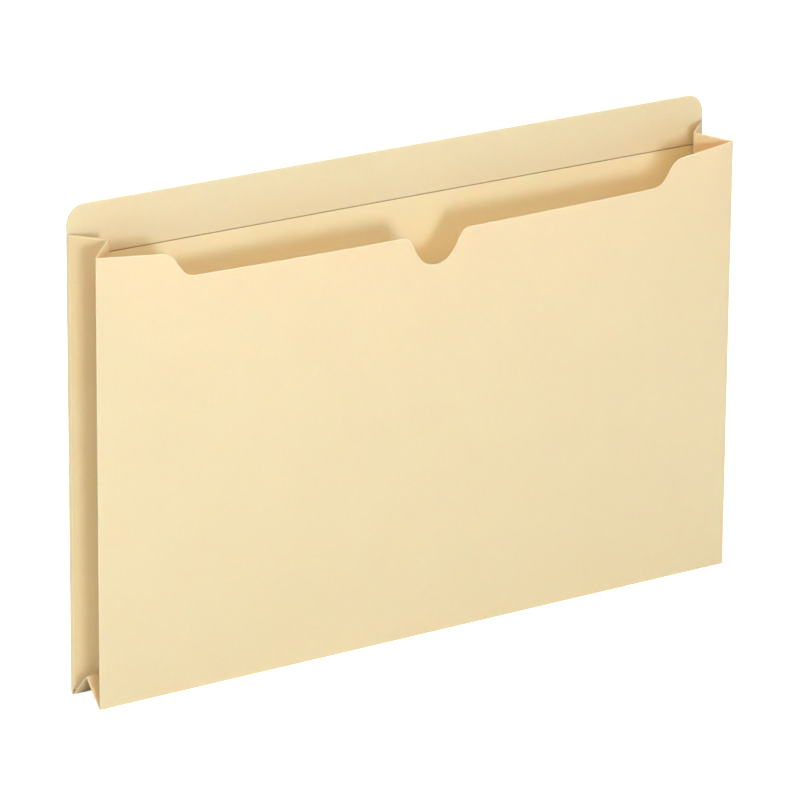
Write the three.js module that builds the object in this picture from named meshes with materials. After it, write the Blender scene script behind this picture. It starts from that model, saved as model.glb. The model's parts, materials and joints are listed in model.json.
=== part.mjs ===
// Expanding file jacket of manila board, standing open: a tall back panel with a two-ply tab, a front
// panel cut low between two ears, side gussets folded inwards and a bottom gusset folded upwards.
// Millimetres. +X is to the right, +Y to the back, +Z up. The origin is at the bottom centre of the
// open jacket.

import * as THREE from 'three';

// Board and panels
const boardThickness = 0.28;
const jacketWidth = 374.65;
const backHeight = 241.3;
const tabCornerRadius = 9.5;
const footCornerRadius = 2;
const tabPlyHeight = 25.4;

// Front panel: how far the tab stands above the ears' outer corners, and the panel's top edge
const tabProjection = 19.05;
const earLength = 34;
const earFall = 2.8;
const shoulderRun = 18;
const shoulderEase = 9.2;
const edgeDrop = 15.5;
const notchMouth = 38;
const notchDepth = 15.9;
const notchLipEase = 7;
const notchRoundEase = 13;
const mouthBow = 8.8;

// Gussets: each side half's length between its folds, its angle to the panels as the jacket stands,
// how far the centre folds rise above the ears, and how far the bottom gusset folds up
const sideHalfLength = 19.05;
const sideHalfAngle = THREE.MathUtils.degToRad(39.5);
const gussetProjection = 3.75;
const bottomGussetRise = 12.2;

// Glue flaps and the corner tabs, which tie the ends of the bottom gusset to the side gussets
const glueFlapWidth = 12.7;
const cornerTabHeight = 21.5;
const cornerTabFall = 2.5;
const cornerTabInset = 6.6;
const cornerTabWidth = 7.5;

// Clearances
const foldGap = 0.3;
const centreFoldGap = 0.25;
const glueGap = 0.2;
const flapGap = 0.5;
const freeEdgeGap = 0.25;
const layerStep = 0.4;
const sillGap = 2.5;
const floorGap = 0.5;

// Smoothness of the curves and of the bowed panel
const curveDivisions = 12;
const bowStep = 12;

// Depths, worked out from the folds. Each half turns on the faces that close on each other, so it
// reaches its length along its own plane and one thickness across it.
const halfDepth = sideHalfLength * Math.sin(sideHalfAngle) + boardThickness * Math.cos(sideHalfAngle);
const openDepth = 2 * halfDepth;
const halfWidth = jacketWidth / 2;
const frontHeight = backHeight - tabProjection;
const sideGussetHeight = frontHeight + gussetProjection;
const loweredEdgeHeight = frontHeight - edgeDrop;
const frontStations = withBowSteps(frontTopEdge());
const furthestBow = Math.max(...frontStations.map(({ x, y }) => bow(x, y)));
const backInnerY = (openDepth + boardThickness + furthestBow) / 2;
const flapInnerY = backInnerY - boardThickness;
const frontInnerY = flapInnerY - openDepth;

// Bottom gusset: its two halves span the same depth, less one layer at the back and the free edge's
// gap in front
const bottomReach = (openDepth - layerStep - freeEdgeGap) / 2;
const bottomDiagonal = Math.hypot(bottomReach, bottomGussetRise);
const bottomHalfLength = Math.sqrt(bottomDiagonal ** 2 - boardThickness ** 2);
const bottomLean = Math.atan2(boardThickness, bottomHalfLength);
const bottomHalfAngle = Math.atan2(bottomReach, bottomGussetRise) - bottomLean;

function board(colour) {
  return new THREE.MeshStandardMaterial({ color: colour, roughness: 0.85, metalness: 0 });
}

const outerBoard = '#f3e1b8';
const innerBoard = '#efd9a8';
const gussetBoard = '#e6cba0';

// A flat sheet from an outline drawn in X and Z. Its face at y = 0 is the one that mates, and the
// board lies in front of it.
function sheet(outline) {
  const geometry = new THREE.ExtrudeGeometry(outline, {
    depth: boardThickness,
    bevelEnabled: false,
    curveSegments: curveDivisions,
  });
  geometry.rotateX(Math.PI / 2);
  return geometry;
}

function polygon(points) {
  return new THREE.Shape(points.map(([x, z]) => new THREE.Vector2(x, z)));
}

function named(name, geometry, colour) {
  const mesh = new THREE.Mesh(geometry, board(colour));
  mesh.name = name;
  return mesh;
}

// An upright rectangle with rounded upper corners, and lower corners of their own radius
function roundedPanel(lowZ, highZ, lowRadius, highRadius) {
  const outline = new THREE.Shape();
  const lowX = halfWidth - lowRadius;
  const highX = halfWidth - highRadius;
  outline.moveTo(-lowX, lowZ);
  outline.lineTo(lowX, lowZ);
  if (lowRadius > 0) outline.absarc(lowX, lowZ + lowRadius, lowRadius, -Math.PI / 2, 0);
  outline.lineTo(halfWidth, highZ - highRadius);
  outline.absarc(highX, highZ - highRadius, highRadius, 0, Math.PI / 2);
  outline.lineTo(-highX, highZ);
  outline.absarc(-highX, highZ - highRadius, highRadius, Math.PI / 2, Math.PI);
  outline.lineTo(-halfWidth, lowZ + lowRadius);
  if (lowRadius > 0) outline.absarc(-lowX, lowZ + lowRadius, lowRadius, Math.PI, 1.5 * Math.PI);
  return outline;
}

function backPanel() {
  const outline = roundedPanel(0, backHeight, footCornerRadius, tabCornerRadius);
  const mesh = named('back_panel', sheet(outline), outerBoard);
  mesh.position.y = backInnerY + boardThickness;
  return mesh;
}

// The second ply lies inside the tab, and shares its rounded corners
function tabPly() {
  const outline = roundedPanel(backHeight - tabPlyHeight, backHeight, 0, tabCornerRadius);
  const mesh = named('tab_ply', sheet(outline), innerBoard);
  mesh.position.y = backInnerY;
  return mesh;
}

// The front panel's top edge from left to right: ear, shoulder, lowered edge, thumb notch, and the
// same mirrored
function frontTopEdge() {
  const shoulderX = halfWidth - earLength;
  const lowX = shoulderX - shoulderRun;
  const shoulderZ = frontHeight - earFall;
  const lowZ = loweredEdgeHeight;
  const notchZ = lowZ - notchDepth;
  const mouthX = notchMouth / 2;
  const edge = new THREE.Path();
  edge.moveTo(-halfWidth, frontHeight);
  edge.lineTo(-shoulderX, shoulderZ);
  edge.bezierCurveTo(-shoulderX + shoulderEase, shoulderZ, -lowX - shoulderEase, lowZ, -lowX, lowZ);
  edge.lineTo(-mouthX, lowZ);
  edge.bezierCurveTo(-mouthX + notchLipEase, lowZ, -notchRoundEase, notchZ, 0, notchZ);
  edge.bezierCurveTo(notchRoundEase, notchZ, mouthX - notchLipEase, lowZ, mouthX, lowZ);
  edge.lineTo(lowX, lowZ);
  edge.bezierCurveTo(lowX + shoulderEase, lowZ, shoulderX - shoulderEase, shoulderZ, shoulderX, shoulderZ);
  edge.lineTo(halfWidth, frontHeight);
  return edge.getPoints(curveDivisions);
}

// More points along the straight stretches, so that the bow stays smooth there
function withBowSteps(points) {
  const stepped = [points[0]];
  for (let i = 1; i < points.length; i += 1) {
    const steps = Math.ceil((points[i].x - points[i - 1].x) / bowStep);
    for (let k = 1; k <= steps; k += 1) {
      stepped.push(points[i - 1].clone().lerp(points[i], k / steps));
    }
  }
  return stepped;
}

// How far the front panel bulges: nothing along its side and bottom folds, most at the middle of the
// lowered edge
function bow(x, z) {
  return mouthBow * (1 - (x / halfWidth) ** 2) * (z / loweredEdgeHeight);
}

// The front panel is a ruled sheet between its straight bottom fold and its cut top edge. Each station
// along the width holds four corners: outside bottom, outside top, inside top and inside bottom. Both
// skins are split along the same diagonal, so that the board keeps its thickness where it twists.
function frontPanel() {
  const corners = [];
  for (const { x, y: topZ } of frontStations) {
    const topY = -bow(x, topZ);
    corners.push(x, -boardThickness, 0, x, topY - boardThickness, topZ, x, topY, topZ, x, 0, 0);
  }
  const triangles = [];
  const quad = (a, b, c, d) => triangles.push(a, b, c, a, c, d);
  for (let i = 0; i < frontStations.length - 1; i += 1) {
    const here = 4 * i;
    const there = here + 4;
    const rises = frontStations[i].x + frontStations[i + 1].x < 0;
    if (rises) {
      quad(here, there, there + 1, here + 1);
      quad(there + 2, there + 3, here + 3, here + 2);
    } else {
      quad(there, there + 1, here + 1, here);
      quad(here + 2, there + 2, there + 3, here + 3);
    }
    quad(here + 1, there + 1, there + 2, here + 2);
    quad(here + 3, there + 3, there, here);
  }
  const last = 4 * (frontStations.length - 1);
  quad(0, 1, 2, 3);
  quad(last + 3, last + 2, last + 1, last);
  const geometry = new THREE.BufferGeometry();
  geometry.setAttribute('position', new THREE.Float32BufferAttribute(corners, 3));
  geometry.setIndex(triangles);
  geometry.computeVertexNormals();
  const mesh = named('front_panel', geometry, outerBoard);
  mesh.position.y = frontInnerY;
  return mesh;
}

// A half of a side gusset lies from its outer fold (s = 0) to the centre fold. Its lower end is mitred,
// so that the bottom gusset folds up beside it. The direction is +1 where the board lies towards +X.
function sideHalfOutline(direction, outerTopZ, distanceFromPanel) {
  const near = foldGap;
  const far = sideHalfLength - centreFoldGap;
  const sillZ = floorGap + sillGap;
  const corners = [
    [near, sillZ + near],
    [far, sillZ + far],
    [far, sideGussetHeight],
    [near, outerTopZ],
  ];
  return polygon(corners.map(([s, z]) => [direction * distanceFromPanel(s), z]));
}

// A corner tab lies on the pocket side of a gusset half, above its mitre
function cornerTabOutline(direction, distanceFromPanel) {
  const near = cornerTabInset;
  const far = cornerTabInset + cornerTabWidth;
  const sillZ = floorGap + sillGap;
  const corners = [
    [near, sillZ + near + foldGap],
    [far, sillZ + far + foldGap],
    [far, cornerTabHeight - cornerTabFall],
    [near, cornerTabHeight],
  ];
  return polygon(corners.map(([s, z]) => [direction * distanceFromPanel(s), z]));
}

// A side gusset opens to the outside. Its rear half turns about the fold at the back panel, and its
// front half about the centre fold, where the two outside faces meet.
function sideGusset(name, inwards) {
  const fromOuterFold = (s) => s;
  const fromCentreFold = (s) => sideHalfLength - s;
  const rear = new THREE.Group();
  rear.position.set(-inwards * (halfWidth - foldGap), flapInnerY, 0);
  rear.rotation.z = -inwards * sideHalfAngle;
  const rearHalf = sheet(sideHalfOutline(inwards, sideGussetHeight, fromOuterFold));
  rear.add(named(`${name}_gusset_rear`, rearHalf, gussetBoard));

  const rearCorner = sheet(cornerTabOutline(inwards, fromOuterFold));
  const rearTab = named(`${name}_corner_tab_rear`, rearCorner, innerBoard);
  rearTab.position.y = glueGap + boardThickness;
  rear.add(rearTab);

  const front = new THREE.Group();
  front.position.set(inwards * sideHalfLength, -boardThickness, 0);
  front.rotation.z = 2 * inwards * sideHalfAngle;
  const frontHalf = sheet(sideHalfOutline(-inwards, frontHeight, fromCentreFold));
  front.add(named(`${name}_gusset_front`, frontHalf, gussetBoard));

  const frontCorner = sheet(cornerTabOutline(-inwards, fromCentreFold));
  const frontTab = named(`${name}_corner_tab_front`, frontCorner, innerBoard);
  frontTab.position.y = -boardThickness - glueGap;
  front.add(frontTab);
  rear.add(front);
  return rear;
}

// The bottom gusset folds up into the pocket as a V turned over, from the back panel's foot to the
// front panel's
function bottomGusset() {
  const endX = halfWidth - foldGap;
  const rear = new THREE.Group();
  rear.position.set(0, flapInnerY - layerStep, floorGap);
  rear.rotation.x = bottomHalfAngle;
  const near = foldGap;
  const far = bottomHalfLength - centreFoldGap;
  const rearOutline = polygon([[-endX, near], [endX, near], [endX, far], [-endX, far]]);
  rear.add(named('bottom_gusset_rear', sheet(rearOutline), gussetBoard));

  const front = new THREE.Group();
  front.position.set(0, -boardThickness, bottomHalfLength);
  front.rotation.x = -2 * bottomHalfAngle;
  const low = -bottomHalfLength;
  const high = -centreFoldGap;
  const frontOutline = polygon([[-endX, low], [endX, low], [endX, high], [-endX, high]]);
  front.add(named('bottom_gusset_front', sheet(frontOutline), gussetBoard));
  rear.add(front);
  return rear;
}

// The glue flaps lie flat on the inside of the back panel, and stop short of each other, the ply and
// the corners
function glueFlaps() {
  const lowZ = cornerTabHeight + flapGap;
  const highZ = backHeight - tabPlyHeight - flapGap;
  const flaps = new THREE.Group();
  flaps.position.y = backInnerY;
  for (const [name, inwards] of [['left', 1], ['right', -1]]) {
    const outerX = -inwards * halfWidth;
    const innerX = outerX + inwards * glueFlapWidth;
    const outline = polygon([
      [outerX, lowZ],
      [innerX, lowZ + glueFlapWidth / 2],
      [innerX, highZ - glueFlapWidth / 2],
      [outerX, highZ],
    ]);
    flaps.add(named(`${name}_glue_flap`, sheet(outline), innerBoard));
  }
  const endX = halfWidth - sideHalfLength;
  const bottomOutline = polygon([
    [-endX, 0],
    [endX, 0],
    [endX - glueFlapWidth / 2, glueFlapWidth],
    [-endX + glueFlapWidth / 2, glueFlapWidth],
  ]);
  flaps.add(named('bottom_glue_flap', sheet(bottomOutline), innerBoard));
  return flaps;
}

const fileJacket = new THREE.Group();
fileJacket.add(backPanel(), tabPly(), frontPanel());
fileJacket.add(sideGusset('left', 1), sideGusset('right', -1), bottomGusset(), glueFlaps());

export default fileJacket;
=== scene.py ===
import json
import math

import bmesh
import bpy
from mathutils import Matrix, Vector

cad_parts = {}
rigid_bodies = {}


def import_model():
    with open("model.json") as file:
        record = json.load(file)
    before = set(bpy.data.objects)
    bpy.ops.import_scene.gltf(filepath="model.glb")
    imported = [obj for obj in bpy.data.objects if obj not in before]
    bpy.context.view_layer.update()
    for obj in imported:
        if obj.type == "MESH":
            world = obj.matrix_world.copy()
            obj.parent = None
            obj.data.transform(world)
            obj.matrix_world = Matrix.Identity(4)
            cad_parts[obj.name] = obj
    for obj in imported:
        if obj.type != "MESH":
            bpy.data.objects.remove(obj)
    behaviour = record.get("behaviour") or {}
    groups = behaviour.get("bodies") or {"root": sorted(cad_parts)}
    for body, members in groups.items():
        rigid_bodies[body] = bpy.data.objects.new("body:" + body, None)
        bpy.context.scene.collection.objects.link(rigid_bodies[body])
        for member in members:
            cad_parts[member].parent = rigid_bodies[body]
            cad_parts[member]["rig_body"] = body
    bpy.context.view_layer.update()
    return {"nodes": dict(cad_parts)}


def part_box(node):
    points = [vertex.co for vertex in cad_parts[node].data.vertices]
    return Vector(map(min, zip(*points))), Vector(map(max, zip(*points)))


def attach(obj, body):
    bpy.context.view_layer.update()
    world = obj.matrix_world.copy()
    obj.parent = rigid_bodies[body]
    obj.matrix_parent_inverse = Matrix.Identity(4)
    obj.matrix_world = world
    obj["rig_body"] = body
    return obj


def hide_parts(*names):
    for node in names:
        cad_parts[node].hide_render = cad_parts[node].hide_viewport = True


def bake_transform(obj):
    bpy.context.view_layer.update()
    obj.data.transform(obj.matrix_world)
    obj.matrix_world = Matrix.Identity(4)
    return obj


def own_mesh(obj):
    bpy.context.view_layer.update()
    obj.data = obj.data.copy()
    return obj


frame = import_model()
print("frame loaded:", len(frame["nodes"]), "boards")

photoCamera = {
    "place": (-1.543, -2.155, 0.961),
    "yaw": 35.45,    # degrees from straight ahead, turned to the right
    "pitch": 17.64,  # looking down
    "roll": 0.43,
    "lens": 257.9,
    "clip": (0.05, 50),
}


def placeCamera():
    yaw, pitch, roll = (math.radians(photoCamera[k]) for k in ("yaw", "pitch", "roll"))
    level = math.cos(pitch)
    ahead = Vector((math.sin(yaw) * level, math.cos(yaw) * level, -math.sin(pitch)))
    right = Vector((math.cos(yaw), -math.sin(yaw), 0))
    up = right.cross(ahead)
    tiltedRight = right * math.cos(roll) + up * math.sin(roll)
    tiltedUp = up * math.cos(roll) - right * math.sin(roll)
    turn = Matrix((tiltedRight, tiltedUp, -ahead)).transposed().to_4x4()
    data = bpy.data.cameras.new("photoCamera")
    data.lens = photoCamera["lens"]
    data.clip_start, data.clip_end = photoCamera["clip"]
    camera = bpy.data.objects.new("photoCamera", data)
    camera.matrix_world = Matrix.Translation(photoCamera["place"]) @ turn
    bpy.context.scene.collection.objects.link(camera)
    bpy.context.scene.camera = camera


placeCamera()
print("camera placed")


def addNode(tree, kind, inputs=None, **settings):
    made = tree.nodes.new(kind)
    for key, value in settings.items():
        setattr(made, key, value)
    for key, value in (inputs or {}).items():
        if isinstance(value, bpy.types.NodeSocket):
            tree.links.new(value, made.inputs[key])
        else:
            made.inputs[key].default_value = value
    return made


# One Math node; works in shader trees and in geometry trees
def calc(tree, operation, a, b=None):
    inputs = {0: a} if b is None else {0: a, 1: b}
    return addNode(tree, "ShaderNodeMath", inputs, operation=operation).outputs[0]


# The Mix node holds its colours behind its floats and vectors, so its sockets are given by number
def mixColour(tree, factor, a, b):
    return addNode(tree, "ShaderNodeMix", {0: factor, 6: a, 7: b}, data_type="RGBA").outputs[2]


def ramp(tree, value, low, high, start=0.0, end=1.0):
    limits = {"Value": value, "From Min": low, "From Max": high, "To Min": start, "To Max": end}
    return addNode(tree, "ShaderNodeMapRange", limits).outputs[0]


def socketsOf(tree, inputs, outputs):
    for name, kind, value in inputs:
        made = tree.interface.new_socket(name, in_out="INPUT", socket_type="NodeSocket" + kind)
        if value is not None:
            made.default_value = value
    for name, kind in outputs:
        tree.interface.new_socket(name, in_out="OUTPUT", socket_type="NodeSocket" + kind)
    return tree.nodes.new("NodeGroupInput").outputs, tree.nodes.new("NodeGroupOutput").inputs


# Sizes are in repeats per metre. Each noise also has its detail, roughness and distortion.
pulpLook = {
    "cloudSize": 30.0, "cloud": (3.0, 0.55, 0.0),
    "mottleSize": 650.0, "mottle": (4.0, 0.62, 0.0),
    "fibreSize": 900.0, "fibre": (2.0, 0.5, 0.6),
    "strands": ((0.35, 0.16), (-0.5, 0.2)),  # turn and stretch of two crossing sets, along the height
    "fleckSize": 260.0,
    "fleckEdge": (0.05, 0.16),   # distances from a cell's middle between which a fleck fades
    "fleckDraw": 7.31,
    "fleckChance": (0.80, 0.88),
}


# Pulp clouds, a fine mottle, laid fibres and stray flecks
def makePulpGroup():
    tree = bpy.data.node_groups.new("manilaPulp", "ShaderNodeTree")
    given, out = socketsOf(
        tree,
        [
            ("Vector", "Vector", None),
            ("Sheet", "Vector", None),
            ("Cloud Size", "Float", pulpLook["cloudSize"]),
            ("Mottle Size", "Float", pulpLook["mottleSize"]),
            ("Fibre Size", "Float", pulpLook["fibreSize"]),
            ("Fleck Size", "Float", pulpLook["fleckSize"]),
        ],
        [("Cloud", "Float"), ("Mottle", "Float"), ("Fibre", "Float"), ("Fleck", "Float")],
    )

    def noise(vector, scale, look):
        settings = {"Vector": vector, "Scale": scale}
        settings |= dict(zip(("Detail", "Roughness", "Distortion"), pulpLook[look]))
        return addNode(tree, "ShaderNodeTexNoise", settings).outputs["Fac"]

    tree.links.new(noise(given["Vector"], given["Cloud Size"], "cloud"), out["Cloud"])
    tree.links.new(noise(given["Vector"], given["Mottle Size"], "mottle"), out["Mottle"])
    strands = []
    for turn, stretch in pulpLook["strands"]:
        lay = {"Vector": given["Sheet"], "Rotation": (0, 0, turn), "Scale": (1.0, stretch, 1.0)}
        laid = addNode(tree, "ShaderNodeMapping", lay).outputs[0]
        strands.append(noise(laid, given["Fibre Size"], "fibre"))
    tree.links.new(calc(tree, "MAXIMUM", strands[0], strands[1]), out["Fibre"])
    cells = addNode(tree, "ShaderNodeTexVoronoi", {"Vector": given["Vector"], "Scale": given["Fleck Size"]})
    spot = ramp(tree, cells.outputs["Distance"], *pulpLook["fleckEdge"], 1.0, 0.0)
    chance = calc(tree, "FRACT", calc(tree, "MULTIPLY", cells.outputs["Color"], pulpLook["fleckDraw"]))
    tree.links.new(calc(tree, "MULTIPLY", spot, ramp(tree, chance, *pulpLook["fleckChance"])), out["Fleck"])
    return tree


# What each pattern adds to the sheet's shade, height and roughness
toneLook = {
    "mottleRange": (0.32, 0.68), "fibreRange": (0.62, 0.78), "cloudRange": (0.34, 0.66),
    "mottleShade": 0.55, "cloudShade": 0.45, "threadShade": 0.6, "fleckShade": 0.9,
    "rimPower": 1.6,
    "rubPower": 1.3, "rubLeast": 0.55, "rubMottle": 0.6,
    "plyShadowLeast": 0.8, "plyShadowMottle": 0.2,
    "mottleHeight": 0.6, "threadHeight": 0.4,
    "roughness": 0.72, "mottleRoughness": 0.14, "foldPolish": 0.1,
}


# Colour of the sheet from those patterns, then the pale cut rim, the rubbed fold and a painted shadow line
# under the ply's edge
def makeToneGroup():
    tree = bpy.data.node_groups.new("manilaTone", "ShaderNodeTree")
    given, out = socketsOf(
        tree,
        [
            ("Colour", "Color", None),
            ("Deep", "Color", None),
            ("Pale", "Color", None),
            ("Seam", "Color", None),
            ("Cloud", "Float", 0.5),
            ("Mottle", "Float", 0.5),
            ("Fibre", "Float", 0.5),
            ("Fleck", "Float", 0.0),
            ("Strength", "Float", 0.3),
            ("Cut Near", "Float", 0.0),
            ("Fold Near", "Float", 0.0),
            ("PlyShadow Near", "Float", 0.0),
            ("Cut Glow", "Float", 0.6),
            ("Fold Rub", "Float", 0.3),
        ],
        [("Colour", "Color"), ("Height", "Float"), ("Roughness", "Float")],
    )

    def times(a, b):
        return calc(tree, "MULTIPLY", a, b)

    look, strength = toneLook, given["Strength"]
    fine = ramp(tree, given["Mottle"], *look["mottleRange"])
    thread = ramp(tree, given["Fibre"], *look["fibreRange"])
    broadPart = times(ramp(tree, given["Cloud"], *look["cloudRange"]), look["cloudShade"])
    shade = calc(tree, "ADD", broadPart, times(fine, look["mottleShade"]))
    toned = mixColour(tree, times(shade, strength), given["Colour"], given["Deep"])
    threadPart = times(thread, times(strength, look["threadShade"]))
    threaded = mixColour(tree, threadPart, toned, given["Pale"])
    fleckPart = times(given["Fleck"], times(strength, look["fleckShade"]))
    flecked = mixColour(tree, fleckPart, threaded, given["Deep"])
    rimPart = times(calc(tree, "POWER", given["Cut Near"], look["rimPower"]), given["Cut Glow"])
    rimmed = mixColour(tree, rimPart, flecked, given["Pale"])
    uneven = calc(tree, "ADD", look["rubLeast"], times(fine, look["rubMottle"]))
    rub = times(calc(tree, "POWER", given["Fold Near"], look["rubPower"]), uneven)
    rubbed = mixColour(tree, times(rub, given["Fold Rub"]), rimmed, given["Pale"])
    # painted shadow: the dark line under the tab ply's lower edge is mixed in here
    patchy = calc(tree, "ADD", look["plyShadowLeast"], times(fine, look["plyShadowMottle"]))
    plyShadowAmount = times(given["PlyShadow Near"], patchy)
    tree.links.new(mixColour(tree, plyShadowAmount, rubbed, given["Seam"]), out["Colour"])
    grain = times(given["Mottle"], look["mottleHeight"])
    tree.links.new(calc(tree, "ADD", grain, times(thread, look["threadHeight"])), out["Height"])
    grainy = calc(tree, "ADD", look["roughness"], times(fine, look["mottleRoughness"]))
    polish = times(given["Fold Near"], look["foldPolish"])
    tree.links.new(calc(tree, "SUBTRACT", grainy, polish), out["Roughness"])
    return tree


pulpGroup = makePulpGroup()
toneGroup = makeToneGroup()

boardFinishes = {
    "outerManila": {
        "colour": (0.905, 0.752, 0.495, 1), "deep": (0.835, 0.675, 0.415, 1), "pale": (1.0, 0.90, 0.66, 1),
        "strength": 0.34, "cutGlow": 0.75, "foldRub": 0.4,
    },
    # painted light: the inside's copy of the board is paler than the outside, so that the pocket, which gets
    # less light, looks as bright as the front
    "innerManila": {
        "colour": (0.985, 0.865, 0.60, 1), "deep": (0.92, 0.765, 0.495, 1), "pale": (1.0, 0.89, 0.64, 1),
        "strength": 0.4, "cutGlow": 0.7, "foldRub": 0.4,
    },
    # painted light: the tab ply's copy of the board is paler than the outside, to brighten the tab where the
    # pocket keeps light from it
    "plyManila": {
        "colour": (0.97, 0.795, 0.53, 1), "deep": (0.905, 0.71, 0.44, 1), "pale": (1.0, 0.89, 0.64, 1),
        "strength": 0.4, "cutGlow": 0.7, "foldRub": 0.4,
    },
    # painted light: the lining's copy of the board is pushed orange, so that the light it bounces paints a
    # warm glow onto the shade inside the pocket
    "liningManila": {
        "colour": (0.99, 0.67, 0.26, 1), "deep": (0.94, 0.60, 0.22, 1), "pale": (1.0, 0.88, 0.62, 1),
        "strength": 0.4, "cutGlow": 0.7, "foldRub": 0.4,
    },
    # painted light: the gussets' copy of the board is warmer than the outside and tuned to lighten their
    # faces that lie in shade
    "gussetManila": {
        "colour": (0.93, 0.735, 0.445, 1), "deep": (0.84, 0.63, 0.345, 1), "pale": (1.0, 0.89, 0.64, 1),
        "strength": 0.45, "cutGlow": 0.8, "foldRub": 0.5,
    },
}
boardFeel = {
    "plyShadow": (0.25, 0.105, 0.012, 1),  # painted shadow: a dark brown line under the ply's lower edge, where shade falls
    "relief": 0.35, "reliefDepth": 0.00004,
    "specular": 0.25, "sheen": 0.05, "sheenRoughness": 0.6,
    "throughWeight": 0.5, "throughReach": (1.0, 0.6, 0.25), "throughScale": 0.0005,  # light soaking through
}


def makeBoardMaterial(name):
    finish = boardFinishes[name]
    material = bpy.data.materials.new(name)
    material.use_nodes = True
    tree = material.node_tree
    tree.nodes.clear()
    place = tree.nodes.new("ShaderNodeTexCoord").outputs
    patterns = {"Vector": place["Object"], "Sheet": place["UV"]}
    pulp = addNode(tree, "ShaderNodeGroup", patterns, node_tree=pulpGroup).outputs
    marks = {}
    for key, attribute in (("Cut Near", "cutNear"), ("Fold Near", "foldNear"), ("PlyShadow Near", "plyShadowNear")):
        read = addNode(tree, "ShaderNodeAttribute", attribute_name=attribute, attribute_type="GEOMETRY")
        marks[key] = read.outputs["Fac"]
    tone = addNode(tree, "ShaderNodeGroup", node_tree=toneGroup, inputs=marks | {
        "Cloud": pulp["Cloud"], "Mottle": pulp["Mottle"], "Fibre": pulp["Fibre"], "Fleck": pulp["Fleck"],
        "Colour": finish["colour"], "Deep": finish["deep"], "Pale": finish["pale"], "Seam": boardFeel["plyShadow"],
        "Strength": finish["strength"], "Cut Glow": finish["cutGlow"], "Fold Rub": finish["foldRub"],
    })
    feel = {"Strength": boardFeel["relief"], "Distance": boardFeel["reliefDepth"]}
    bump = addNode(tree, "ShaderNodeBump", feel | {"Height": tone.outputs["Height"]})
    shader = addNode(tree, "ShaderNodeBsdfPrincipled", {
        "Base Color": tone.outputs["Colour"],
        "Roughness": tone.outputs["Roughness"],
        "Normal": bump.outputs[0],
        "Specular IOR Level": boardFeel["specular"],
        "Sheen Weight": boardFeel["sheen"],
        "Sheen Roughness": boardFeel["sheenRoughness"],
        "Subsurface Weight": boardFeel["throughWeight"],
        "Subsurface Radius": boardFeel["throughReach"],
        "Subsurface Scale": boardFeel["throughScale"],
    })
    out = tree.nodes.new("ShaderNodeOutputMaterial")
    tree.links.new(shader.outputs[0], out.inputs["Surface"])
    return material


rawCut = {
    "pale": (1.0, 0.93, 0.74, 1), "deep": (0.93, 0.79, 0.54, 1),
    "grainSize": 1800.0, "grainDetail": 3.0,
    "raggedSize": 240.0, "raggedDetail": 2.0,
    "noiseRoughness": 0.55,
    "relief": 0.5, "reliefDepth": 0.00006,
    "roughness": 0.82, "grainRoughness": 0.12,
    "specular": 0.15,
}


# The raw cut through the board: paler, and streaked along the layers of pulp
def makeCutMaterial():
    material = bpy.data.materials.new("cutEdge")
    material.use_nodes = True
    tree = material.node_tree
    tree.nodes.clear()
    place = tree.nodes.new("ShaderNodeTexCoord").outputs["Object"]
    grains = []
    for kind in ("grain", "ragged"):
        settings = {"Vector": place, "Scale": rawCut[kind + "Size"], "Detail": rawCut[kind + "Detail"]}
        settings["Roughness"] = rawCut["noiseRoughness"]
        grains.append(addNode(tree, "ShaderNodeTexNoise", settings).outputs["Fac"])
    blend = calc(tree, "MULTIPLY", calc(tree, "ADD", grains[0], grains[1]), 0.5)
    relief = {"Height": grains[0], "Strength": rawCut["relief"], "Distance": rawCut["reliefDepth"]}
    bump = addNode(tree, "ShaderNodeBump", relief)
    grainy = calc(tree, "MULTIPLY", grains[0], rawCut["grainRoughness"])
    shader = addNode(tree, "ShaderNodeBsdfPrincipled", {
        "Base Color": mixColour(tree, blend, rawCut["pale"], rawCut["deep"]),
        "Roughness": calc(tree, "ADD", rawCut["roughness"], grainy),
        "Normal": bump.outputs[0],
        "Specular IOR Level": rawCut["specular"],
    })
    out = tree.nodes.new("ShaderNodeOutputMaterial")
    tree.links.new(shader.outputs[0], out.inputs["Surface"])
    return material


finishOf = {name: makeBoardMaterial(name) for name in boardFinishes}
cutEdge = makeCutMaterial()
print("finishes made")

mergeReach = 1e-6   # points nearer than this are one
flatAngle = 0.01    # radians up to which neighbouring faces are one

# Each flat board starts from a merged copy of its CAD sheet. folds names the sides that are folds and not
# cuts, and inside the finish of the face towards the pocket, where it isn't that of the outside. A mitred
# board's slanted end goes on as a web, a peaked one's top rises, and the back panel gets a painted shadow
# line under the ply's edge.
sideHalf = {"finish": "gussetManila", "slot": "gusset_board", "folds": ("left", "right"), "mitred": True}
flatBoards = {
    "back_panel": {
        "finish": "outerManila", "inside": "innerManila", "slot": "outer_board", "folds": ("top",),
        "plyShaded": True,
    },
    "tab_ply": {"finish": "plyManila", "slot": "inner_board", "folds": ("top",)},
    "left_gusset_rear": sideHalf | {"peaked": True},
    "left_gusset_front": sideHalf,
    "left_corner_tab_rear": {"finish": "innerManila", "slot": "inner_board", "folds": ()},
    "left_corner_tab_front": {"finish": "innerManila", "slot": "inner_board", "folds": ()},
    "right_gusset_rear": sideHalf | {"peaked": True},
    "right_gusset_front": sideHalf,
    "right_corner_tab_rear": {"finish": "innerManila", "slot": "inner_board", "folds": ()},
    "right_corner_tab_front": {"finish": "innerManila", "slot": "inner_board", "folds": ()},
    "bottom_gusset_rear": {"finish": "gussetManila", "slot": "gusset_board", "folds": ("top", "bottom")},
    "bottom_gusset_front": {"finish": "gussetManila", "slot": "gusset_board", "folds": ("top", "bottom")},
    "left_glue_flap": {"finish": "innerManila", "slot": "inner_board", "folds": ("left",)},
    "right_glue_flap": {"finish": "innerManila", "slot": "inner_board", "folds": ("right",)},
    "bottom_glue_flap": {"finish": "innerManila", "slot": "inner_board", "folds": ("bottom",)},
}
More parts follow.
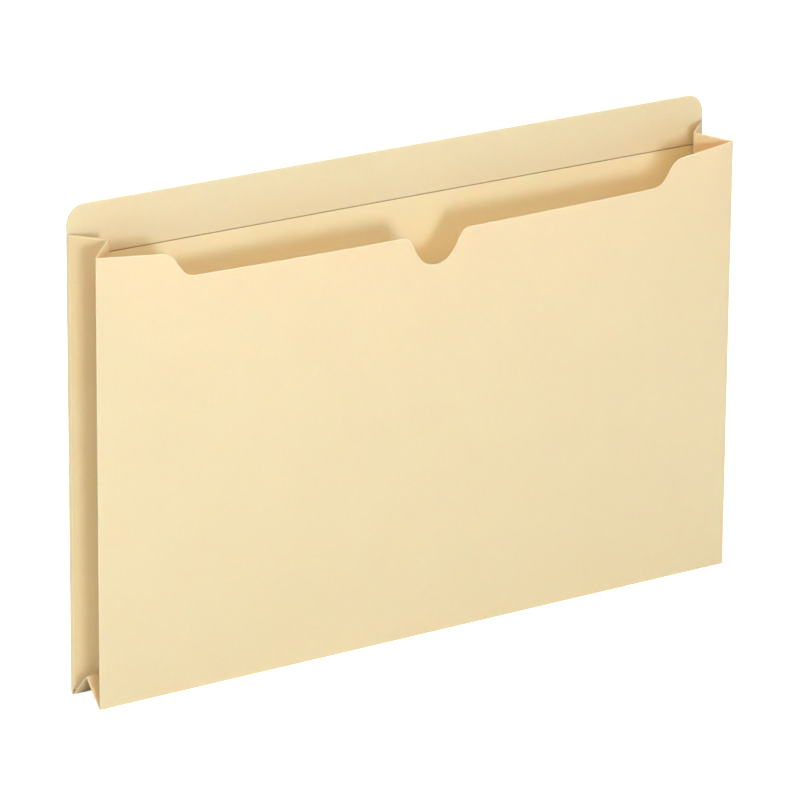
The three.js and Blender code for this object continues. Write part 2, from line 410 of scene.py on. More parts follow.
boardDetail = {
    "rim": 0.0009,          # how far the pale cut edge and the rubbed fold reach into the face
    "arris": 0.00005,       # rounding of the corners of the cut
    "arrisAngle": 40,       # degrees from which a corner is rounded
    "sharpAngle": 50,       # degrees from which an edge isn't shaded smooth
    "foldReach": 0.00004,   # an edge this near to a fold side lies on it
    "inward": -0.7,         # a face whose normal has a lower y looks into the pocket
    "sheetScale": 2.0,      # the sheet's own map, repeats per metre
    "plyShadowHeight": 0.0006,
    "plyShadowFade": 0.5,        # what is left of the painted shadow at the line's lower side
    "peak": 0.0018,         # rise of the rear halves' tops towards the back fold
    "topReach": 0.001,
    "mitreFold": 0.187025,  # distance of the outer folds from the middle
    "mitreLean": 39.5,      # degrees between a side gusset half and the panels
    "mitreSill": 0.003,     # height of the mitre at the outer folds
    "mitreReach": 0.0005,   # an edge this near to the mitre's line lies on it
}


def sheetAxes(normal):
    high = (Vector((0, 0, 1)) - normal * normal.z).normalized()
    wide = high.cross(normal)
    if wide.x < 0:
        wide.negate()
    return wide, high


# The evaluated mesh as a plain one, without material slots that hold nothing
def plainMesh(piece):
    bpy.context.view_layer.update()
    seen = piece.evaluated_get(bpy.context.evaluated_depsgraph_get())
    mesh = bpy.data.meshes.new_from_object(seen)
    held = [slot for slot in mesh.materials if slot]
    moved = [held.index(slot) if slot else 0 for slot in mesh.materials]
    places = [moved[polygon.material_index] for polygon in mesh.polygons]
    mesh.materials.clear()
    for material in held:
        mesh.materials.append(material)
    mesh.polygons.foreach_set("material_index", places)
    return mesh


def shadeSmooth(mesh):
    mesh.polygons.foreach_set("use_smooth", [True] * len(mesh.polygons))
    mesh.set_sharp_from_angle(angle=math.radians(boardDetail["sharpAngle"]))


def roundArrises(piece):
    bevel = piece.modifiers.new("arris", "BEVEL")
    bevel.width, bevel.segments = boardDetail["arris"], 2
    bevel.limit_method, bevel.angle_limit = "ANGLE", math.radians(boardDetail["arrisAngle"])
    mesh = plainMesh(piece)
    piece.modifiers.clear()
    piece.data = mesh
    shadeSmooth(mesh)


# A strip of the back panel along the ply's lower edge, where a dark line is painted for the shadow under the
# ply
def markPlyShadow(bm, plyShadowNear):
    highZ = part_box("tab_ply")[0].z
    lowZ = highZ - boardDetail["plyShadowHeight"]
    for height in (highZ, lowZ):
        inside = [face for face in bm.faces if face.normal.y < boardDetail["inward"]]
        cut = list({edge for face in inside for edge in face.edges}) + inside
        bmesh.ops.bisect_plane(bm, geom=cut, plane_co=(0, 0, height), plane_no=(0, 0, 1), dist=mergeReach)
    for face in bm.faces:
        middle = face.calc_center_median().z
        if face.normal.y < boardDetail["inward"] and lowZ < middle < highZ:
            for loop in face.loops:
                loop[plyShadowNear] = 1.0 if loop.vert.co.z > middle else boardDetail["plyShadowFade"]


# Whether an edge lies on the slanted lower end of a side gusset half, where its web begins
def onMitre(ends):
    slope = 1 / math.cos(math.radians(boardDetail["mitreLean"]))
    for end in ends:
        along = (boardDetail["mitreFold"] - abs(end.co.x)) * slope
        if abs(end.co.z - boardDetail["mitreSill"] - along) > boardDetail["mitreReach"]:
            return False
    return True


# Gives a plain board its pale rim, rubbed folds, map, finish and rounded arrises
def dressBoard(bm, name, plan):
    if "peaked" in plan:
        topZ, backY = (max(vertex.co[axis] for vertex in bm.verts) for axis in (2, 1))
        frontY = min(vertex.co.y for vertex in bm.verts)
        for vertex in bm.verts:
            if vertex.co.z > topZ - boardDetail["topReach"]:
                vertex.co.z += boardDetail["peak"] * (vertex.co.y - frontY) / (backY - frontY)
    for old in list(bm.loops.layers.uv):
        bm.loops.layers.uv.remove(old)
    cutNear = bm.loops.layers.float.new("cutNear")
    foldNear = bm.loops.layers.float.new("foldNear")
    plyShadowNear = bm.loops.layers.float.new("plyShadowNear")
    sheetMap = bm.loops.layers.uv.new("sheet")
    bm.faces.ensure_lookup_table()
    broad = sorted(bm.faces, key=lambda face: face.calc_area())[-2:]
    wide, high = sheetAxes(broad[0].normal.copy())
    axisOf = {"left": wide, "right": wide, "bottom": high, "top": high}
    limitOf = {}
    for side, axis in axisOf.items():
        reach = [vertex.co.dot(axis) for vertex in bm.verts]
        limitOf[side] = min(reach) if side in ("left", "bottom") else max(reach)

    def isFold(ends):
        for side in plan["folds"]:
            away = max(abs(end.co.dot(axisOf[side]) - limitOf[side]) for end in ends)
            if away < boardDetail["foldReach"]:
                return True
        return False

    for face in bm.faces:
        face.material_index = 0
        if face not in broad:
            longest = max(face.edges, key=lambda edge: edge.calc_length())
            joined = "mitred" in plan and onMitre(longest.verts)
            face.material_index = 0 if joined or isFold(longest.verts) else 1
        elif "inside" in plan and face.normal.y < boardDetail["inward"]:
            face.material_index = 2
    for face in broad:
        outer = set(face.verts)
        rim = bmesh.ops.inset_region(bm, faces=[face], thickness=boardDetail["rim"], use_even_offset=True)
        for part in rim["faces"]:
            rimEdges = [edge for edge in part.edges if edge.verts[0] in outer and edge.verts[1] in outer]
            if rimEdges and "mitred" in plan and onMitre(rimEdges[0].verts):
                continue
            layer = foldNear if rimEdges and isFold(rimEdges[0].verts) else cutNear
            for loop in part.loops:
                loop[layer] = 1.0 if loop.vert in outer else 0.0
    # painted shadow: marks the strip under the ply's edge where a dark line stands in for its shade
    if "plyShaded" in plan:
        markPlyShadow(bm, plyShadowNear)
    scale = boardDetail["sheetScale"]
    across = wide.cross(high)
    for face in bm.faces:
        shift = 0.5 if face.normal.dot(across) > 0 else 0.0
        for loop in face.loops:
            place = loop.vert.co
            loop[sheetMap].uv = (place.dot(wide) * scale + 0.5, place.dot(high) * scale + shift)
    mesh = bpy.data.meshes.new(name)
    bm.to_mesh(mesh)
    bm.free()
    piece = bpy.data.objects.new(name, mesh)
    bpy.context.scene.collection.objects.link(piece)
    mesh.materials.append(finishOf[plan["finish"]])
    mesh.materials.append(cutEdge)
    if "inside" in plan:
        mesh.materials.append(finishOf[plan["inside"]])
    roundArrises(piece)
    return piece


def flatBoard(nodeName, plan):
    bm = bmesh.new()
    bm.from_mesh(frame["nodes"][nodeName].data)
    bmesh.ops.remove_doubles(bm, verts=bm.verts, dist=mergeReach)
    bmesh.ops.dissolve_limit(bm, angle_limit=flatAngle, verts=bm.verts, edges=bm.edges)
    piece = dressBoard(bm, nodeName + "_board", plan)
    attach(piece, frame["nodes"][nodeName]["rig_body"])
    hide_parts(nodeName)


for nodeName, plan in flatBoards.items():
    flatBoard(nodeName, plan)
print("flat boards made:", len(flatBoards))

# A ruled sheet from the straight bottom fold to the cut top edge. It bulges most at the middle of its mouth.
frontPanel = {
    "width": 0.37465,
    "height": 0.22225,        # of the ears' outer corners
    "earLength": 0.034,
    "earFall": 0.0028,
    "shoulderRun": 0.018,
    "shoulderEase": 0.0092,
    "edgeDrop": 0.0155,
    "notchMouth": 0.038,
    "notchDepth": 0.0159,
    "notchLipEase": 0.007,
    "notchRoundEase": 0.013,
    "bow": 0.00879,
    "thickness": 0.00028,
    "step": 0.006,            # widest stretch between two columns
    "rows": 40,
    "curveSteps": 20,
}


def bezier(a, b, c, d, steps):
    points = []
    for k in range(1, steps + 1):
        t = k / steps
        s = 1 - t
        weights = (s ** 3, 3 * s * s * t, 3 * s * t * t, t ** 3)
        points.append(tuple(sum(w * p[i] for w, p in zip(weights, (a, b, c, d))) for i in (0, 1)))
    return points


def topEdge():
    f = frontPanel
    half = f["width"] / 2
    shoulderX = half - f["earLength"]
    lowX = shoulderX - f["shoulderRun"]
    shoulderZ = f["height"] - f["earFall"]
    lowZ = f["height"] - f["edgeDrop"]
    notchZ = lowZ - f["notchDepth"]
    mouthX = f["notchMouth"] / 2
    steps = f["curveSteps"]
    rim = boardDetail["rim"]
    rimZ = f["height"] - f["earFall"] * rim / f["earLength"]
    shoulder, foot, lip = (-shoulderX, shoulderZ), (-lowX, lowZ), (-mouthX, lowZ)
    left = [(-half, f["height"]), (-half + rim, rimZ), shoulder]
    ease = f["shoulderEase"]
    left += bezier(shoulder, (-shoulderX + ease, shoulderZ), (-lowX - ease, lowZ), foot, steps)
    left.append(lip)
    lipEnd, roundEnd = (-mouthX + f["notchLipEase"], lowZ), (-f["notchRoundEase"], notchZ)
    left += bezier(lip, lipEnd, roundEnd, (0, notchZ), steps)
    line = left + [(-x, z) for x, z in reversed(left[:-1])]
    stations = [line[0]]
    for (x0, z0), (x1, z1) in zip(line, line[1:]):
        count = max(1, math.ceil((x1 - x0) / f["step"]))
        for k in range(1, count + 1):
            stations.append((x0 + (x1 - x0) * k / count, z0 + (z1 - z0) * k / count))
    return stations


# A grid with a column for each point of the guide line, and what its columns and rows are numbered
def guidedGrid(tree, guide, rows):
    size = addNode(tree, "GeometryNodeAttributeDomainSize", {0: guide}, component="MESH")
    count = size.outputs["Point Count"]
    sizes = {"Size X": 1.0, "Size Y": 1.0, "Vertices X": count, "Vertices Y": rows}
    grid = addNode(tree, "GeometryNodeMeshGrid", sizes).outputs["Mesh"]
    place = addNode(tree, "GeometryNodeInputPosition").outputs[0]
    at = addNode(tree, "ShaderNodeSeparateXYZ", {0: place}).outputs
    lastColumn = calc(tree, "SUBTRACT", count, 1.0)
    lastRow = calc(tree, "SUBTRACT", rows, 1.0)
    column = calc(tree, "ROUND", calc(tree, "MULTIPLY", calc(tree, "ADD", at["X"], 0.5), lastColumn))
    row = calc(tree, "ROUND", calc(tree, "MULTIPLY", calc(tree, "ADD", at["Y"], 0.5), lastRow))
    wanted = {"Geometry": guide, "Value": place, "Index": column}
    sample = addNode(tree, "GeometryNodeSampleIndex", wanted, data_type="FLOAT_VECTOR", domain="POINT")
    return grid, sample.outputs[0], column, lastColumn, row, lastRow


def storeField(tree, geometry, name, value, kind="FLOAT", domain="POINT"):
    inputs = {"Geometry": geometry, "Name": name, "Value": value}
    return addNode(tree, "GeometryNodeStoreNamedAttribute", inputs, data_type=kind, domain=domain).outputs[0]


# Gives a skin its thickness and closes it
def thicken(tree, skin, offset, amount):
    settings = {"Mesh": skin, "Offset Scale": amount, "Individual": False}
    if offset is not None:
        settings["Offset"] = offset
    grown = addNode(tree, "GeometryNodeExtrudeMesh", settings, mode="FACES")
    flipped = addNode(tree, "GeometryNodeFlipFaces", {"Mesh": skin}).outputs[0]
    joined = tree.nodes.new("GeometryNodeJoinGeometry")
    tree.links.new(flipped, joined.inputs[0])
    tree.links.new(grown.outputs["Mesh"], joined.inputs[0])
    merged = {"Geometry": joined.outputs[0], "Distance": mergeReach}
    return addNode(tree, "GeometryNodeMergeByDistance", merged).outputs[0]


def perFace(tree, value):
    return addNode(tree, "GeometryNodeFieldOnDomain", {0: value}, data_type="FLOAT", domain="FACE").outputs[0]


def makeBowedSheetTree():
    tree = bpy.data.node_groups.new("bowedSheet", "GeometryNodeTree")
    given, out = socketsOf(
        tree,
        [
            ("Top Edge", "Geometry", None),
            ("Half Width", "Float", 0.1),
            ("Bow", "Float", 0.0),
            ("Mouth Height", "Float", 0.2),
            ("Inner Face", "Float", 0.0),
            ("Thickness", "Float", 0.0003),
            ("Rim", "Float", 0.001),
            ("Rows", "Int", 20),
            ("Sheet Scale", "Float", 2.0),
            ("Outside", "Material", None),
            ("Inside", "Material", None),
            ("Cut", "Material", None),
        ],
        [("Sheet", "Geometry")],
    )
    grid, sampled, column, lastColumn, row, lastRow = guidedGrid(tree, given["Top Edge"], given["Rows"])
    top = addNode(tree, "ShaderNodeSeparateXYZ", {0: sampled}).outputs
    # rows: the fold, one rim in, even steps, one rim short of the cut, and the cut
    steps = calc(tree, "SUBTRACT", lastRow, 2.0)
    between = calc(tree, "DIVIDE", calc(tree, "SUBTRACT", row, 1.0), steps)
    span = calc(tree, "SUBTRACT", top["Z"], calc(tree, "MULTIPLY", given["Rim"], 2.0))
    free = calc(tree, "ADD", given["Rim"], calc(tree, "MULTIPLY", span, between))
    height = calc(tree, "MINIMUM", calc(tree, "MAXIMUM", free, 0.0), top["Z"])
    across = calc(tree, "DIVIDE", top["X"], given["Half Width"])
    crown = calc(tree, "SUBTRACT", 1.0, calc(tree, "MULTIPLY", across, across))
    lift = calc(tree, "DIVIDE", height, given["Mouth Height"])
    bulge = calc(tree, "MULTIPLY", calc(tree, "MULTIPLY", given["Bow"], crown), lift)
    depth = calc(tree, "SUBTRACT", given["Inner Face"], bulge)
    place = addNode(tree, "ShaderNodeCombineXYZ", {"X": top["X"], "Y": depth, "Z": height}).outputs[0]
    # what the finish reads is stored before the grid is moved
    isCut = calc(tree, "GREATER_THAN", row, calc(tree, "SUBTRACT", lastRow, 0.5))
    isFoot = calc(tree, "LESS_THAN", row, 0.5)
    isLeft = calc(tree, "LESS_THAN", column, 0.5)
    isRight = calc(tree, "GREATER_THAN", column, calc(tree, "SUBTRACT", lastColumn, 0.5))
    isFold = calc(tree, "MAXIMUM", isFoot, calc(tree, "MAXIMUM", isLeft, isRight))
    marked = storeField(tree, storeField(tree, grid, "cutNear", isCut), "foldNear", isFold)
    inner = addNode(tree, "GeometryNodeSetPosition", {"Geometry": marked, "Position": place}).outputs[0]
    outwards = addNode(tree, "ShaderNodeCombineXYZ", {"Y": calc(tree, "MULTIPLY", given["Thickness"], -1.0)})
    closed = thicken(tree, inner, outwards.outputs[0], 1.0)
    # the sheet's own map: the inner skin sits above the outer one
    here = addNode(tree, "GeometryNodeInputPosition").outputs[0]
    where = addNode(tree, "ShaderNodeSeparateXYZ", {0: here}).outputs
    normal = addNode(tree, "GeometryNodeInputNormal").outputs[0]
    facing = addNode(tree, "ShaderNodeSeparateXYZ", {0: normal}).outputs
    isInner = perFace(tree, calc(tree, "GREATER_THAN", facing["Y"], 0.5))
    mapX = calc(tree, "ADD", calc(tree, "MULTIPLY", where["X"], given["Sheet Scale"]), 0.5)
    shift = calc(tree, "MULTIPLY", isInner, 0.5)
    mapY = calc(tree, "ADD", calc(tree, "MULTIPLY", where["Z"], given["Sheet Scale"]), shift)
    sheetMap = addNode(tree, "ShaderNodeCombineXYZ", {"X": mapX, "Y": mapY}).outputs[0]
    mapped = storeField(tree, closed, "sheet", sheetMap, "FLOAT2", "CORNER")
    real = addNode(tree, "GeometryNodeRealizeInstances", {0: mapped}).outputs[0]
    outside = {"Geometry": real, "Material": given["Outside"]}
    board = addNode(tree, "GeometryNodeSetMaterial", outside).outputs[0]
    lining = {"Geometry": board, "Selection": isInner, "Material": given["Inside"]}
    lined = addNode(tree, "GeometryNodeSetMaterial", lining).outputs[0]
    # the narrow faces along the cut: all four corners lie on it
    readCut = addNode(tree, "GeometryNodeInputNamedAttribute", {"Name": "cutNear"}, data_type="FLOAT")
    raw = calc(tree, "GREATER_THAN", perFace(tree, readCut.outputs["Attribute"]), 0.9)
    trimmed = {"Geometry": lined, "Selection": raw, "Material": given["Cut"]}
    tree.links.new(addNode(tree, "GeometryNodeSetMaterial", trimmed).outputs[0], out["Sheet"])
    return tree


# An object that holds a guide line, shaped by a Geometry Nodes tree and then made plain
def guidedPiece(name, points, tree, values):
    mesh = bpy.data.meshes.new(name)
    mesh.from_pydata(points, [(i, i + 1) for i in range(len(points) - 1)], [])
    piece = bpy.data.objects.new(name, mesh)
    bpy.context.scene.collection.objects.link(piece)
    modifier = piece.modifiers.new(tree.name, "NODES")
    modifier.node_group = tree
    for item in tree.interface.items_tree:
        if item.in_out == "INPUT" and item.name in values:
            modifier[item.identifier] = values[item.name]
    mesh = plainMesh(piece)
    piece.modifiers.clear()
    piece.data = mesh
    return piece


def makeFrontPanel():
    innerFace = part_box("front_panel")[1].y
    piece = guidedPiece("front_panel_board", [(x, 0, z) for x, z in topEdge()], makeBowedSheetTree(), {
        "Half Width": frontPanel["width"] / 2,
        "Bow": frontPanel["bow"],
        "Mouth Height": frontPanel["height"] - frontPanel["edgeDrop"],
        "Inner Face": innerFace,
        "Thickness": frontPanel["thickness"],
        "Rim": boardDetail["rim"],
        "Rows": frontPanel["rows"],
        "Sheet Scale": boardDetail["sheetScale"],
        "Outside": finishOf["outerManila"],
        "Inside": finishOf["liningManila"],
        "Cut": cutEdge,
    })
    roundArrises(piece)
    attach(piece, "front")
    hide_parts("front_panel")
    print("front panel:", len(piece.data.polygons), "faces in", [m.name for m in piece.data.materials])


makeFrontPanel()

# The rounded turn of the board at each fold, as a line across the fold that runs along it. A side fold is
# drawn in x and y for the left side and mirrored for the right; a bottom fold is drawn in y and z.
creases = {
    "thickness": 0.0003,
    "overlap": 0.0004,       # how far a crease runs onto each board
    "turnSteps": 8,
    "rows": 48,
    "wander": 0.00002,       # how far the line of a fold strays
    "wanderSize": 55.0,
    "seedStep": 3.7,
    "mapWidth": 0.01,
    "sideLean": boardDetail["mitreLean"],
    "bottomLean": 43.608,    # degrees between a bottom gusset half and the panels
    "outerFoot": 0.0008,     # heights of the side folds' ends
    "centreFoot": 0.0218,
    "rearTop": 0.2260,
    "frontTop": 0.22225,
    "bottomReach": 0.187,    # of the bottom folds, each way from the middle
    "backHug": (-0.18717, 0.01684),
    "sideBack": (-0.187025, 0.01654876),
    "sideCentre": (-0.17250365, 0.00421542),
    "sideFront": (-0.187025, -0.00811793),
    "frontHug": (-0.18717, -0.00826),
    "bottomBack": (0.01614876, 0.0005),
    "bottomCentre": (0.00414042, 0.0127),
    "bottomFrontHug": (-0.008258, 0.0006),
    "bottomBackHug": (0.01670, 0.0007),
    "half": 0.00014,         # half the board's thickness
    "gap": 0.0003,
    "centreGap": 0.00025,
    "sideTurn": 0.0003,      # reach of the turn's handles
    "centreTurn": 0.0003,
    "bottomTurn": 0.00045,
    "bottomFrontTurn": 0.00025,
}


def ahead(place, way, far):
    return (place[0] + way[0] * far, place[1] + way[1] * far)


# Straight onto each board, and a smooth turn between
def turnLine(start, leaving, end, arriving, handle, startRun, endRun):
    steps = creases["turnSteps"]
    line = [ahead(start, leaving, -startRun)] if startRun else []
    line.append(start)
    line += bezier(start, ahead(start, leaving, handle), ahead(end, arriving, -handle), end, steps)
    if endRun:
        line.append(ahead(end, arriving, endRun))
    return line


def makeCreaseTree():
    tree = bpy.data.node_groups.new("foldCrease", "GeometryNodeTree")
    given, out = socketsOf(
        tree,
        [
            ("Turn", "Geometry", None),
            ("Along", "Vector", (0.0, 0.0, 1.0)),
            ("From", "Float", 0.0),
            ("To", "Float", 0.1),
            ("Thickness", "Float", 0.0003),
            ("Rows", "Int", 20),
            ("Wander", "Float", 0.0),
            ("Wander Size", "Float", 50.0),
            ("Seed", "Float", 0.0),
            ("Sheet Scale", "Float", 2.0),
            ("Board", "Material", None),
        ],
        [("Crease", "Geometry")],
    )
    grid, sampled, column, lastColumn, row, lastRow = guidedGrid(tree, given["Turn"], given["Rows"])
    share = calc(tree, "DIVIDE", row, lastRow)
    reach = calc(tree, "SUBTRACT", given["To"], given["From"])
    far = calc(tree, "ADD", given["From"], calc(tree, "MULTIPLY", reach, share))
    run = addNode(tree, "ShaderNodeVectorMath", {0: given["Along"], "Scale": far}, operation="SCALE")
    place = addNode(tree, "ShaderNodeVectorMath", {0: sampled, 1: run.outputs[0]}, operation="ADD").outputs[0]
    middle = calc(tree, "SINE", calc(tree, "MULTIPLY", calc(tree, "DIVIDE", column, lastColumn), math.pi))
    marked = storeField(tree, grid, "foldNear", middle)
    mapped = addNode(tree, "ShaderNodeCombineXYZ", {
        "X": calc(tree, "MULTIPLY", middle, creases["mapWidth"]),
        "Y": calc(tree, "MULTIPLY", far, given["Sheet Scale"]),
    }).outputs[0]
    drawn = storeField(tree, marked, "sheet", mapped, "FLOAT2", "CORNER")
    skin = addNode(tree, "GeometryNodeSetPosition", {"Geometry": drawn, "Position": place}).outputs[0]
    # strays a little in and out, least at the sides that lie on the boards
    seeded = calc(tree, "ADD", calc(tree, "MULTIPLY", far, given["Wander Size"]), given["Seed"])
    wave = {"W": seeded, "Scale": 1.0, "Detail": 2.0}
    stray = addNode(tree, "ShaderNodeTexNoise", wave, noise_dimensions="1D")
    uneven = calc(tree, "MULTIPLY", calc(tree, "SUBTRACT", stray.outputs[0], 0.5), given["Wander"])
    halfBoard = calc(tree, "MULTIPLY", given["Thickness"], 0.5)
    amount = calc(tree, "SUBTRACT", calc(tree, "MULTIPLY", uneven, middle), halfBoard)
    normal = addNode(tree, "GeometryNodeInputNormal").outputs[0]
    outwards = addNode(tree, "ShaderNodeVectorMath", {0: normal, "Scale": amount}, operation="SCALE")
    sunk = {"Geometry": skin, "Offset": outwards.outputs[0]}
    under = addNode(tree, "GeometryNodeSetPosition", sunk).outputs[0]
    closed = thicken(tree, under, None, given["Thickness"])
    real = addNode(tree, "GeometryNodeRealizeInstances", {0: closed}).outputs[0]
    finished = {"Geometry": real, "Material": given["Board"]}
    tree.links.new(addNode(tree, "GeometryNodeSetMaterial", finished).outputs[0], out["Crease"])
    return tree


# Lines, extents and bodies of the nine folds. A fold listed with one body goes with it; one listed with two
# is left where it lies.
def planCreases():
    c = creases
    lean, half, gap = math.radians(c["sideLean"]), c["half"], c["gap"]
    inwards = (math.cos(lean), -math.sin(lean))      # along the rear half, from the back fold
    outFace = (-math.sin(lean), -math.cos(lean))     # towards the rear half's outer face
    mirrored = (inwards[0], -inwards[1])             # along the front half, from the front fold
    rearStart = ahead(ahead(c["sideBack"], inwards, gap), outFace, half)
    frontStart = ahead(ahead(c["sideFront"], mirrored, gap), (outFace[0], -outFace[1]), half)
    rearEnd = ahead(ahead(c["sideCentre"], inwards, -c["centreGap"]), outFace, -half)
    frontEnd = ahead(ahead(c["sideCentre"], mirrored, -c["centreGap"]), (outFace[0], -outFace[1]), -half)
    overlap, turn = c["overlap"], c["sideTurn"]
    backLine = turnLine(c["backHug"], (0, -1), rearStart, inwards, turn, 0, overlap)
    frontLine = turnLine(c["frontHug"], (0, 1), frontStart, mirrored, turn, 0, overlap)
    outwards = (-mirrored[0], -mirrored[1])
    centreLine = turnLine(rearEnd, inwards, frontEnd, outwards, c["centreTurn"], overlap, overlap)
    plans = []
    for side, sign in (("left", 1), ("right", -1)):
        rear, front = side + "_rear", side + "_front"
        frontBodies = (front, "front") if side == "left" else ("front",)
        for name, line, low, high, bodies in (
            ("back", backLine, c["outerFoot"], c["rearTop"] + boardDetail["peak"], ("back", rear)),
            ("centre", centreLine, c["centreFoot"], c["rearTop"], (rear, front)),
            ("front", frontLine, c["outerFoot"], c["frontTop"], frontBodies),
        ):
            points = [(sign * x, y, 0) for x, y in line]
            plans.append((f"{side}_{name}_crease", points, (0, 0, 1), low, high, bodies))
    lean = math.radians(c["bottomLean"])
    rises = (-math.sin(lean), math.cos(lean))        # along the rear half, from the back fold
    downFace = (-math.cos(lean), -math.sin(lean))
    falls = (-math.sin(lean), -math.cos(lean))       # along the front half, from the centre fold
    downFront = (math.cos(lean), -math.sin(lean))
    length = math.dist(c["bottomBack"], c["bottomCentre"])
    length = math.sqrt(length ** 2 - (2 * half) ** 2)
    rearFoot = ahead(ahead(c["bottomBack"], rises, gap), downFace, half)
    rearTop = ahead(ahead(c["bottomCentre"], rises, -c["centreGap"]), downFace, -half)
    frontTop = ahead(ahead(c["bottomCentre"], falls, c["centreGap"]), downFront, -half)
    frontFoot = ahead(ahead(c["bottomCentre"], falls, length), downFront, -half)
    backLine = turnLine(c["bottomBackHug"], (0, -1), rearFoot, rises, c["bottomTurn"], 0, overlap)
    centreLine = turnLine(rearTop, rises, frontTop, falls, c["centreTurn"], overlap, overlap)
    frontLine = turnLine(frontFoot, falls, c["bottomFrontHug"], (0, 1), c["bottomFrontTurn"], overlap, 0)
    for name, line, bodies in (
        ("back", backLine, ("back", "bottom_rear")),
        ("centre", centreLine, ("bottom_rear", "bottom_front")),
        ("front", frontLine, ("front",)),
    ):
        points = [(0, y, z) for y, z in line]
        reach = c["bottomReach"]
        plans.append((f"bottom_{name}_crease", points, (1, 0, 0), -reach, reach, bodies))
    return plans


def makeCreases():
    tree = makeCreaseTree()
    for seed, (name, points, along, low, high, bodies) in enumerate(planCreases()):
        piece = guidedPiece(name, points, tree, {
            "Along": along,
            "From": low,
            "To": high,
            "Thickness": creases["thickness"],
            "Rows": creases["rows"],
            "Wander": creases["wander"],
            "Wander Size": creases["wanderSize"],
            "Seed": creases["seedStep"] * seed,
            "Sheet Scale": boardDetail["sheetScale"],
            "Board": finishOf["gussetManila"],
        })
        shadeSmooth(piece.data)
        if len(bodies) == 2:
            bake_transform(piece)
        else:
            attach(piece, bodies[0])
    print("creases made:", seed + 1)


makeCreases()

# The web between the mitred end of each side gusset half and the bottom gusset. The real one folds away as
# the jacket closes; this one is a fixed plate that goes with its gusset half.
webs = {
    "near": 0.00055,         # from the outer fold, at the mitre
    "far": 0.01905,          # to the centre fold
    "lift": 0.0007,          # of the lower edge, clear of the bottom gusset and its crease
    "tuck": 0.0004,          # how far above the mitre the web's folded strip lies
    "thickness": 0.00028,
    "keep": 0.02,            # share that is left when closed
}


def makeWeb(side, half):
    lean = math.radians(creases["sideLean"])
    climb = math.sin(lean) / math.tan(math.radians(creases["bottomLean"]))
    inwards, outFace = (math.cos(lean), -math.sin(lean)), (-math.sin(lean), -math.cos(lean))
    across = creases["sideBack"][1] + creases["sideFront"][1]
    flipX, flipY = side == "right", half == "front"

    def put(along, z, depth):
        x, y = ahead(ahead(creases["sideBack"], inwards, along), outFace, depth)
        return Vector((-x if flipX else x, across - y if flipY else y, z))

    near, far, sill, lift = webs["near"], webs["far"], boardDetail["mitreSill"], webs["lift"]
    # the near edge falls square to the mitre, clear of the outer fold
    corner = (sill + 2 * near - lift) / (1 + climb)
    lower = [(corner, lift + climb * corner), (far, lift + climb * far)]
    outline = lower + [(far, sill + far), (near, sill + near)]
    bm = bmesh.new()
    depths = (0, webs["thickness"])
    skins = [[bm.verts.new(put(along, z, depth)) for along, z in outline] for depth in depths]
    bm.faces.new(skins[0])
    bm.faces.new(reversed(skins[1]))
    for k in range(4):
        after = (k + 1) % 4
        bm.faces.new((skins[0][after], skins[0][k], skins[1][k], skins[1][after]))
    bmesh.ops.recalc_face_normals(bm, faces=bm.faces)
    piece = dressBoard(bm, f"{side}_{half}_web", sideHalf)
    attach(piece, f"{side}_{half}")
    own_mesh(piece)


for side in ("left", "right"):
    for half in ("rear", "front"):
        makeWeb(side, half)
print("webs made")

# Each softbox stands at turn degrees to the right of straight ahead and rise degrees above the floor, and
# faces the middle of the jacket.
softboxes = {
    "key": {
        "turn": -19.0, "rise": 4.5, "away": 1.5, "size": 0.3,
        "power": 7.4, "colour": (0.93, 1.0, 1.09),
    },
    "left": {
        "turn": -45.0, "rise": 42.0, "away": 1.9, "size": 1.2,
        "power": 10.8, "colour": (1.06, 1.0, 0.9),
    },
    "right": {
        "turn": 45.0, "rise": 42.0, "away": 1.8, "size": 1.2,
        "power": 8.4, "colour": (1.06, 1.0, 0.9),
    },
    "back": {
        "turn": 180.0, "rise": 62.0, "away": 1.2, "size": 0.7,
        "power": 9.6, "colour": (1.06, 1.0, 0.9),
    },
    "rear": {
        "turn": 180.0, "rise": 14.0, "away": 1.8, "size": 1.0,
        "power": 6.0, "colour": (1.0, 1.0, 1.0),
    },
}
stage = {
    "aim": (0, 0, 0.12),
    "skyStrength": 0.1,
    "floorSize": 6.0,
    "floorColour": (0.93, 0.93, 0.93, 1),
    "floorLift": 0.82,          # how much of the camera's view of the floor is plain white
}


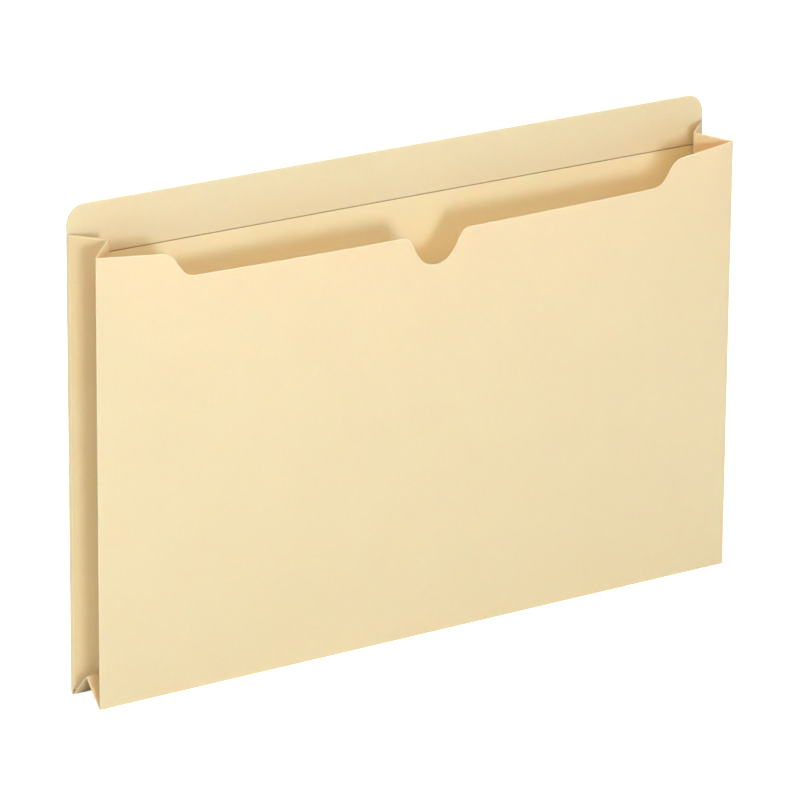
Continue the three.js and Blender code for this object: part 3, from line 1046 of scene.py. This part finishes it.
def softbox(name, plan):
    turn, rise = math.radians(plan["turn"]), math.radians(plan["rise"])
    level = math.cos(rise)
    towards = Vector((math.sin(turn) * level, -math.cos(turn) * level, math.sin(rise)))
    data = bpy.data.lights.new(name + "Softbox", "AREA")
    data.shape, data.size = "SQUARE", plan["size"]
    data.energy, data.color = plan["power"], plan["colour"]
    lamp = bpy.data.objects.new(name + "Softbox", data)
    lamp.location = Vector(stage["aim"]) + towards * plan["away"]
    lamp.rotation_euler = towards.to_track_quat("Z", "Y").to_euler()
    lamp.visible_camera = False
    bpy.context.scene.collection.objects.link(lamp)


# Rays from the camera, and those that a glossy or clear surface sends on
def seenRays(tree):
    path = tree.nodes.new("ShaderNodeLightPath").outputs
    passed = calc(tree, "MAXIMUM", path["Is Glossy Ray"], path["Is Transmission Ray"])
    return calc(tree, "MAXIMUM", path["Is Camera Ray"], passed)


def makeSky():
    world = bpy.data.worlds.new("softSky")
    bpy.context.scene.world = world
    world.use_nodes = True
    tree = world.node_tree
    tree.nodes.clear()
    white = (1, 1, 1, 1)
    sky = addNode(tree, "ShaderNodeBackground", {"Color": white, "Strength": stage["skyStrength"]}).outputs[0]
    backdrop = addNode(tree, "ShaderNodeBackground", {"Color": white, "Strength": 1.0}).outputs[0]
    both = addNode(tree, "ShaderNodeMixShader", {0: seenRays(tree), 1: sky, 2: backdrop}).outputs[0]
    tree.links.new(both, tree.nodes.new("ShaderNodeOutputWorld").inputs[0])


def makeFloor():
    half = stage["floorSize"] / 2
    mesh = bpy.data.meshes.new("floor")
    corners = [(-half, -half, 0), (half, -half, 0), (half, half, 0), (-half, half, 0)]
    mesh.from_pydata(corners, [], [(0, 1, 2, 3)])
    floor = bpy.data.objects.new("floor", mesh)
    bpy.context.scene.collection.objects.link(floor)
    material = bpy.data.materials.new("whiteFloor")
    material.use_nodes = True
    tree = material.node_tree
    tree.nodes.clear()
    matte = addNode(tree, "ShaderNodeBsdfDiffuse", {"Color": stage["floorColour"]}).outputs[0]
    lift = calc(tree, "MULTIPLY", seenRays(tree), stage["floorLift"])
    glow = addNode(tree, "ShaderNodeEmission", {"Color": (1, 1, 1, 1), "Strength": lift}).outputs[0]
    both = addNode(tree, "ShaderNodeAddShader", {0: matte, 1: glow}).outputs[0]
    tree.links.new(both, tree.nodes.new("ShaderNodeOutputMaterial").inputs["Surface"])
    mesh.materials.append(material)


for name, plan in softboxes.items():
    softbox(name, plan)
makeSky()
makeFloor()
bpy.context.scene.view_settings.view_transform = "Standard"
print("stage lit")
